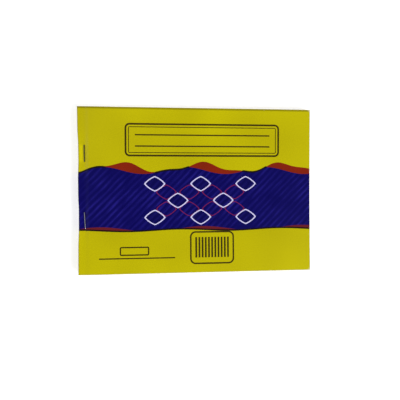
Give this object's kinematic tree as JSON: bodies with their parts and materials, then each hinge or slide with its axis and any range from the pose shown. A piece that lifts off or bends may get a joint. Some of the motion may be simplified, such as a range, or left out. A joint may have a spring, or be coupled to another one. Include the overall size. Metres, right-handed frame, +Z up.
{
  "type": "carbonless duplicate book",
  "caption": "Landscape book of perforated white sheets and canary copy sheets in a wrapped card cover, stapled through its left margin.",
  "frame": {"origin": "centre of the closed book's footprint, on the surface that it lies on", "axes": "+X along the long side, away from the stapled edge; +Y along the short side, to the cover's upper edge; +Z up through the front cover"},
  "size_m": [0.21, 0.148, 0.0059],
  "materials": {
    "cover_card": "satin",
    "original_paper": "matte",
    "duplicate_paper": "matte",
    "shield_card": "matte",
    "staple_steel": "satin"
  },
  "bodies": {
    "binding": {"cover_spine": "cover_card", "bound_margins": "original_paper", "upper_staple": "staple_steel", "lower_staple": "staple_steel"},
    "front_cover": {"front_cover": "cover_card"},
    "back_cover": {"back_cover": "cover_card"},
    "writing_shield": {"writing_shield": "shield_card"},
    "original_01_stub": {"original_01_stub": "original_paper"},
    "original_01_sheet": {"original_01_sheet": "original_paper"},
    "duplicate_01": {"duplicate_01": "duplicate_paper"},
    "original_02": {"original_02": "original_paper"},
    "duplicate_02": {"duplicate_02": "duplicate_paper"},
    "original_03": {"original_03": "original_paper"},
    "duplicate_03": {"duplicate_03": "duplicate_paper"},
    "original_04": {"original_04": "original_paper"},
    "duplicate_04": {"duplicate_04": "duplicate_paper"},
    "original_05": {"original_05": "original_paper"},
    "duplicate_05": {"duplicate_05": "duplicate_paper"},
    "original_06": {"original_06": "original_paper"},
    "duplicate_06": {"duplicate_06": "duplicate_paper"},
    "original_07": {"original_07": "original_paper"},
    "duplicate_07": {"duplicate_07": "duplicate_paper"},
    "original_08": {"original_08": "original_paper"},
    "duplicate_08": {"duplicate_08": "duplicate_paper"},
    "original_09": {"original_09": "original_paper"},
    "duplicate_09": {"duplicate_09": "duplicate_paper"},
    "original_10": {"original_10": "original_paper"},
    "duplicate_10": {"duplicate_10": "duplicate_paper"},
    "original_11": {"original_11": "original_paper"},
    "duplicate_11": {"duplicate_11": "duplicate_paper"},
    "original_12": {"original_12": "original_paper"},
    "duplicate_12": {"duplicate_12": "duplicate_paper"},
    "original_13": {"original_13": "original_paper"},
    "duplicate_13": {"duplicate_13": "duplicate_paper"},
    "original_14": {"original_14": "original_paper"},
    "duplicate_14": {"duplicate_14": "duplicate_paper"},
    "original_15": {"original_15": "original_paper"},
    "duplicate_15": {"duplicate_15": "duplicate_paper"},
    "original_16": {"original_16": "original_paper"},
    "duplicate_16": {"duplicate_16": "duplicate_paper"},
    "original_17": {"original_17": "original_paper"},
    "duplicate_17": {"duplicate_17": "duplicate_paper"},
    "original_18": {"original_18": "original_paper"},
    "duplicate_18": {"duplicate_18": "duplicate_paper"},
    "original_19": {"original_19": "original_paper"},
    "duplicate_19": {"duplicate_19": "duplicate_paper"},
    "original_20": {"original_20": "original_paper"},
    "duplicate_20": {"duplicate_20": "duplicate_paper"},
    "original_21": {"original_21": "original_paper"},
    "duplicate_21": {"duplicate_21": "duplicate_paper"},
    "original_22": {"original_22": "original_paper"},
    "duplicate_22": {"duplicate_22": "duplicate_paper"},
    "original_23": {"original_23": "original_paper"},
    "duplicate_23": {"duplicate_23": "duplicate_paper"},
    "original_24": {"original_24": "original_paper"},
    "duplicate_24": {"duplicate_24": "duplicate_paper"},
    "original_25": {"original_25": "original_paper"},
    "duplicate_25": {"duplicate_25": "duplicate_paper"}
  },
  "joints": [
    {"name": "front_cover_hinge", "type": "hinge", "parent": "binding", "child": "front_cover", "pos_m": [-0.095, 0, 0.0063], "axis": [0, -1, 0], "range_deg": [0, 179]},
    {"name": "back_cover_hinge", "type": "hinge", "parent": "binding", "child": "back_cover", "pos_m": [-0.095, 0, -0.0004], "axis": [0, 1, 0], "range_deg": [0, 179]},
    {"name": "original_01_hinge", "type": "hinge", "parent": "binding", "child": "original_01_stub", "pos_m": [-0.095, 0, 0.0063], "axis": [0, -1, 0], "range_deg": [0, 179]},
    {"name": "duplicate_01_hinge", "type": "hinge", "parent": "binding", "child": "duplicate_01", "pos_m": [-0.095, 0, 0.0063], "axis": [0, -1, 0], "range_deg": [0, 179]},
    {"name": "original_02_hinge", "type": "hinge", "parent": "binding", "child": "original_02", "pos_m": [-0.095, 0, 0.0063], "axis": [0, -1, 0], "range_deg": [0, 179]},
    {"name": "duplicate_02_hinge", "type": "hinge", "parent": "binding", "child": "duplicate_02", "pos_m": [-0.095, 0, 0.0063], "axis": [0, -1, 0], "range_deg": [0, 179]},
    {"name": "original_03_hinge", "type": "hinge", "parent": "binding", "child": "original_03", "pos_m": [-0.095, 0, 0.0063], "axis": [0, -1, 0], "range_deg": [0, 179]},
    {"name": "duplicate_03_hinge", "type": "hinge", "parent": "binding", "child": "duplicate_03", "pos_m": [-0.095, 0, 0.0063], "axis": [0, -1, 0], "range_deg": [0, 179]},
    {"name": "original_04_hinge", "type": "hinge", "parent": "binding", "child": "original_04", "pos_m": [-0.095, 0, 0.0063], "axis": [0, -1, 0], "range_deg": [0, 179]},
    {"name": "duplicate_04_hinge", "type": "hinge", "parent": "binding", "child": "duplicate_04", "pos_m": [-0.095, 0, 0.0063], "axis": [0, -1, 0], "range_deg": [0, 179]},
    {"name": "original_05_hinge", "type": "hinge", "parent": "binding", "child": "original_05", "pos_m": [-0.095, 0, 0.0063], "axis": [0, -1, 0], "range_deg": [0, 179]},
    {"name": "duplicate_05_hinge", "type": "hinge", "parent": "binding", "child": "duplicate_05", "pos_m": [-0.095, 0, 0.0063], "axis": [0, -1, 0], "range_deg": [0, 179]},
    {"name": "original_06_hinge", "type": "hinge", "parent": "binding", "child": "original_06", "pos_m": [-0.095, 0, 0.0063], "axis": [0, -1, 0], "range_deg": [0, 179]},
    {"name": "duplicate_06_hinge", "type": "hinge", "parent": "binding", "child": "duplicate_06", "pos_m": [-0.095, 0, 0.0063], "axis": [0, -1, 0], "range_deg": [0, 179]},
    {"name": "original_07_hinge", "type": "hinge", "parent": "binding", "child": "original_07", "pos_m": [-0.095, 0, 0.0063], "axis": [0, -1, 0], "range_deg": [0, 179]},
    {"name": "duplicate_07_hinge", "type": "hinge", "parent": "binding", "child": "duplicate_07", "pos_m": [-0.095, 0, 0.0063], "axis": [0, -1, 0], "range_deg": [0, 179]},
    {"name": "original_08_hinge", "type": "hinge", "parent": "binding", "child": "original_08", "pos_m": [-0.095, 0, 0.0063], "axis": [0, -1, 0], "range_deg": [0, 179]},
    {"name": "duplicate_08_hinge", "type": "hinge", "parent": "binding", "child": "duplicate_08", "pos_m": [-0.095, 0, 0.0063], "axis": [0, -1, 0], "range_deg": [0, 179]},
    {"name": "original_09_hinge", "type": "hinge", "parent": "binding", "child": "original_09", "pos_m": [-0.095, 0, 0.0063], "axis": [0, -1, 0], "range_deg": [0, 179]},
    {"name": "duplicate_09_hinge", "type": "hinge", "parent": "binding", "child": "duplicate_09", "pos_m": [-0.095, 0, 0.0063], "axis": [0, -1, 0], "range_deg": [0, 179]},
    {"name": "original_10_hinge", "type": "hinge", "parent": "binding", "child": "original_10", "pos_m": [-0.095, 0, 0.0063], "axis": [0, -1, 0], "range_deg": [0, 179]},
    {"name": "duplicate_10_hinge", "type": "hinge", "parent": "binding", "child": "duplicate_10", "pos_m": [-0.095, 0, 0.0063], "axis": [0, -1, 0], "range_deg": [0, 179]},
    {"name": "original_11_hinge", "type": "hinge", "parent": "binding", "child": "original_11", "pos_m": [-0.095, 0, 0.0063], "axis": [0, -1, 0], "range_deg": [0, 179]},
    {"name": "duplicate_11_hinge", "type": "hinge", "parent": "binding", "child": "duplicate_11", "pos_m": [-0.095, 0, 0.0063], "axis": [0, -1, 0], "range_deg": [0, 179]},
    {"name": "original_12_hinge", "type": "hinge", "parent": "binding", "child": "original_12", "pos_m": [-0.095, 0, 0.0063], "axis": [0, -1, 0], "range_deg": [0, 179]},
    {"name": "duplicate_12_hinge", "type": "hinge", "parent": "binding", "child": "duplicate_12", "pos_m": [-0.095, 0, 0.0063], "axis": [0, -1, 0], "range_deg": [0, 179]},
    {"name": "original_13_hinge", "type": "hinge", "parent": "binding", "child": "original_13", "pos_m": [-0.095, 0, 0.0063], "axis": [0, -1, 0], "range_deg": [0, 179]},
    {"name": "duplicate_13_hinge", "type": "hinge", "parent": "binding", "child": "duplicate_13", "pos_m": [-0.095, 0, 0.0063], "axis": [0, -1, 0], "range_deg": [0, 179]},
    {"name": "original_14_hinge", "type": "hinge", "parent": "binding", "child": "original_14", "pos_m": [-0.095, 0, 0.0063], "axis": [0, -1, 0], "range_deg": [0, 179]},
    {"name": "duplicate_14_hinge", "type": "hinge", "parent": "binding", "child": "duplicate_14", "pos_m": [-0.095, 0, 0.0063], "axis": [0, -1, 0], "range_deg": [0, 179]},
    {"name": "original_15_hinge", "type": "hinge", "parent": "binding", "child": "original_15", "pos_m": [-0.095, 0, 0.0063], "axis": [0, -1, 0], "range_deg": [0, 179]},
    {"name": "duplicate_15_hinge", "type": "hinge", "parent": "binding", "child": "duplicate_15", "pos_m": [-0.095, 0, 0.0063], "axis": [0, -1, 0], "range_deg": [0, 179]},
    {"name": "original_16_hinge", "type": "hinge", "parent": "binding", "child": "original_16", "pos_m": [-0.095, 0, 0.0063], "axis": [0, -1, 0], "range_deg": [0, 179]},
    {"name": "duplicate_16_hinge", "type": "hinge", "parent": "binding", "child": "duplicate_16", "pos_m": [-0.095, 0, 0.0063], "axis": [0, -1, 0], "range_deg": [0, 179]},
    {"name": "original_17_hinge", "type": "hinge", "parent": "binding", "child": "original_17", "pos_m": [-0.095, 0, 0.0063], "axis": [0, -1, 0], "range_deg": [0, 179]},
    {"name": "duplicate_17_hinge", "type": "hinge", "parent": "binding", "child": "duplicate_17", "pos_m": [-0.095, 0, 0.0063], "axis": [0, -1, 0], "range_deg": [0, 179]},
    {"name": "original_18_hinge", "type": "hinge", "parent": "binding", "child": "original_18", "pos_m": [-0.095, 0, 0.0063], "axis": [0, -1, 0], "range_deg": [0, 179]},
    {"name": "duplicate_18_hinge", "type": "hinge", "parent": "binding", "child": "duplicate_18", "pos_m": [-0.095, 0, 0.0063], "axis": [0, -1, 0], "range_deg": [0, 179]},
    {"name": "original_19_hinge", "type": "hinge", "parent": "binding", "child": "original_19", "pos_m": [-0.095, 0, 0.0063], "axis": [0, -1, 0], "range_deg": [0, 179]},
    {"name": "duplicate_19_hinge", "type": "hinge", "parent": "binding", "child": "duplicate_19", "pos_m": [-0.095, 0, 0.0063], "axis": [0, -1, 0], "range_deg": [0, 179]},
    {"name": "original_20_hinge", "type": "hinge", "parent": "binding", "child": "original_20", "pos_m": [-0.095, 0, 0.0063], "axis": [0, -1, 0], "range_deg": [0, 179]},
    {"name": "duplicate_20_hinge", "type": "hinge", "parent": "binding", "child": "duplicate_20", "pos_m": [-0.095, 0, 0.0063], "axis": [0, -1, 0], "range_deg": [0, 179]},
    {"name": "original_21_hinge", "type": "hinge", "parent": "binding", "child": "original_21", "pos_m": [-0.095, 0, 0.0063], "axis": [0, -1, 0], "range_deg": [0, 179]},
    {"name": "duplicate_21_hinge", "type": "hinge", "parent": "binding", "child": "duplicate_21", "pos_m": [-0.095, 0, 0.0063], "axis": [0, -1, 0], "range_deg": [0, 179]},
    {"name": "original_22_hinge", "type": "hinge", "parent": "binding", "child": "original_22", "pos_m": [-0.095, 0, 0.0063], "axis": [0, -1, 0], "range_deg": [0, 179]},
    {"name": "duplicate_22_hinge", "type": "hinge", "parent": "binding", "child": "duplicate_22", "pos_m": [-0.095, 0, 0.0063], "axis": [0, -1, 0], "range_deg": [0, 179]},
    {"name": "original_23_hinge", "type": "hinge", "parent": "binding", "child": "original_23", "pos_m": [-0.095, 0, 0.0063], "axis": [0, -1, 0], "range_deg": [0, 179]},
    {"name": "duplicate_23_hinge", "type": "hinge", "parent": "binding", "child": "duplicate_23", "pos_m": [-0.095, 0, 0.0063], "axis": [0, -1, 0], "range_deg": [0, 179]},
    {"name": "original_24_hinge", "type": "hinge", "parent": "binding", "child": "original_24", "pos_m": [-0.095, 0, 0.0063], "axis": [0, -1, 0], "range_deg": [0, 179]},
    {"name": "duplicate_24_hinge", "type": "hinge", "parent": "binding", "child": "duplicate_24", "pos_m": [-0.095, 0, 0.0063], "axis": [0, -1, 0], "range_deg": [0, 179]},
    {"name": "original_25_hinge", "type": "hinge", "parent": "binding", "child": "original_25", "pos_m": [-0.095, 0, 0.0063], "axis": [0, -1, 0], "range_deg": [0, 179]},
    {"name": "duplicate_25_hinge", "type": "hinge", "parent": "binding", "child": "duplicate_25", "pos_m": [-0.095, 0, 0.0063], "axis": [0, -1, 0], "range_deg": [0, 179]},
    {"name": "original_01_tear_off", "type": "slide", "parent": "original_01_stub", "child": "original_01_sheet", "axis": [1, 0, 0], "range_m": [0, 0.195]},
    {"name": "writing_shield_slide", "type": "slide", "parent": "binding", "child": "writing_shield", "axis": [1, 0, 0], "range_m": [0, 0.2]}
  ],
  "couplings": [
    {"joint": "original_01_hinge", "follows": "front_cover_hinge", "ratio": 0.998},
    {"joint": "duplicate_01_hinge", "follows": "front_cover_hinge", "ratio": 0.9961},
    {"joint": "original_02_hinge", "follows": "front_cover_hinge", "ratio": 0.9941},
    {"joint": "duplicate_02_hinge", "follows": "front_cover_hinge", "ratio": 0.9922},
    {"joint": "original_03_hinge", "follows": "front_cover_hinge", "ratio": 0.9902},
    {"joint": "duplicate_03_hinge", "follows": "front_cover_hinge", "ratio": 0.9882},
    {"joint": "original_04_hinge", "follows": "front_cover_hinge", "ratio": 0.9863},
    {"joint": "duplicate_04_hinge", "follows": "front_cover_hinge", "ratio": 0.9843},
    {"joint": "original_05_hinge", "follows": "front_cover_hinge", "ratio": 0.9823},
    {"joint": "duplicate_05_hinge", "follows": "front_cover_hinge", "ratio": 0.9804},
    {"joint": "original_06_hinge", "follows": "front_cover_hinge", "ratio": 0.9784},
    {"joint": "duplicate_06_hinge", "follows": "front_cover_hinge", "ratio": 0.9764},
    {"joint": "original_07_hinge", "follows": "front_cover_hinge", "ratio": 0.9743},
    {"joint": "duplicate_07_hinge", "follows": "front_cover_hinge", "ratio": 0.9721},
    {"joint": "original_08_hinge", "follows": "front_cover_hinge", "ratio": 0.9698},
    {"joint": "duplicate_08_hinge", "follows": "front_cover_hinge", "ratio": 0.967},
    {"joint": "original_09_hinge", "follows": "front_cover_hinge", "ratio": 0.9636},
    {"joint": "duplicate_09_hinge", "follows": "front_cover_hinge", "ratio": 0.9587},
    {"joint": "original_10_hinge", "follows": "front_cover_hinge", "ratio": 0.9511},
    {"joint": "duplicate_10_hinge", "follows": "front_cover_hinge", "ratio": 0.9384},
    {"joint": "original_11_hinge", "follows": "front_cover_hinge", "ratio": 0.9161},
    {"joint": "duplicate_11_hinge", "follows": "front_cover_hinge", "ratio": 0.8773},
    {"joint": "original_12_hinge", "follows": "front_cover_hinge", "ratio": 0.8119},
    {"joint": "duplicate_12_hinge", "follows": "front_cover_hinge", "ratio": 0.7109},
    {"joint": "original_13_hinge", "follows": "front_cover_hinge", "ratio": 0.5753},
    {"joint": "duplicate_13_hinge", "follows": "front_cover_hinge", "ratio": 0.4247},
    {"joint": "original_14_hinge", "follows": "front_cover_hinge", "ratio": 0.2891},
    {"joint": "duplicate_14_hinge", "follows": "front_cover_hinge", "ratio": 0.1881},
    {"joint": "original_15_hinge", "follows": "front_cover_hinge", "ratio": 0.1227},
    {"joint": "duplicate_15_hinge", "follows": "front_cover_hinge", "ratio": 0.0839},
    {"joint": "original_16_hinge", "follows": "front_cover_hinge", "ratio": 0.0616},
    {"joint": "duplicate_16_hinge", "follows": "front_cover_hinge", "ratio": 0.0489},
    {"joint": "original_17_hinge", "follows": "front_cover_hinge", "ratio": 0.0413},
    {"joint": "duplicate_17_hinge", "follows": "front_cover_hinge", "ratio": 0.0364},
    {"joint": "original_18_hinge", "follows": "front_cover_hinge", "ratio": 0.033},
    {"joint": "duplicate_18_hinge", "follows": "front_cover_hinge", "ratio": 0.0302},
    {"joint": "original_19_hinge", "follows": "front_cover_hinge", "ratio": 0.0279},
    {"joint": "duplicate_19_hinge", "follows": "front_cover_hinge", "ratio": 0.0257},
    {"joint": "original_20_hinge", "follows": "front_cover_hinge", "ratio": 0.0236},
    {"joint": "duplicate_20_hinge", "follows": "front_cover_hinge", "ratio": 0.0216},
    {"joint": "original_21_hinge", "follows": "front_cover_hinge", "ratio": 0.0196},
    {"joint": "duplicate_21_hinge", "follows": "front_cover_hinge", "ratio": 0.0177},
    {"joint": "original_22_hinge", "follows": "front_cover_hinge", "ratio": 0.0157},
    {"joint": "duplicate_22_hinge", "follows": "front_cover_hinge", "ratio": 0.0137},
    {"joint": "original_23_hinge", "follows": "front_cover_hinge", "ratio": 0.0118},
    {"joint": "duplicate_23_hinge", "follows": "front_cover_hinge", "ratio": 0.0098},
    {"joint": "original_24_hinge", "follows": "front_cover_hinge", "ratio": 0.0078},
    {"joint": "duplicate_24_hinge", "follows": "front_cover_hinge", "ratio": 0.0059},
    {"joint": "original_25_hinge", "follows": "front_cover_hinge", "ratio": 0.0039},
    {"joint": "duplicate_25_hinge", "follows": "front_cover_hinge", "ratio": 0.002}
  ]
}
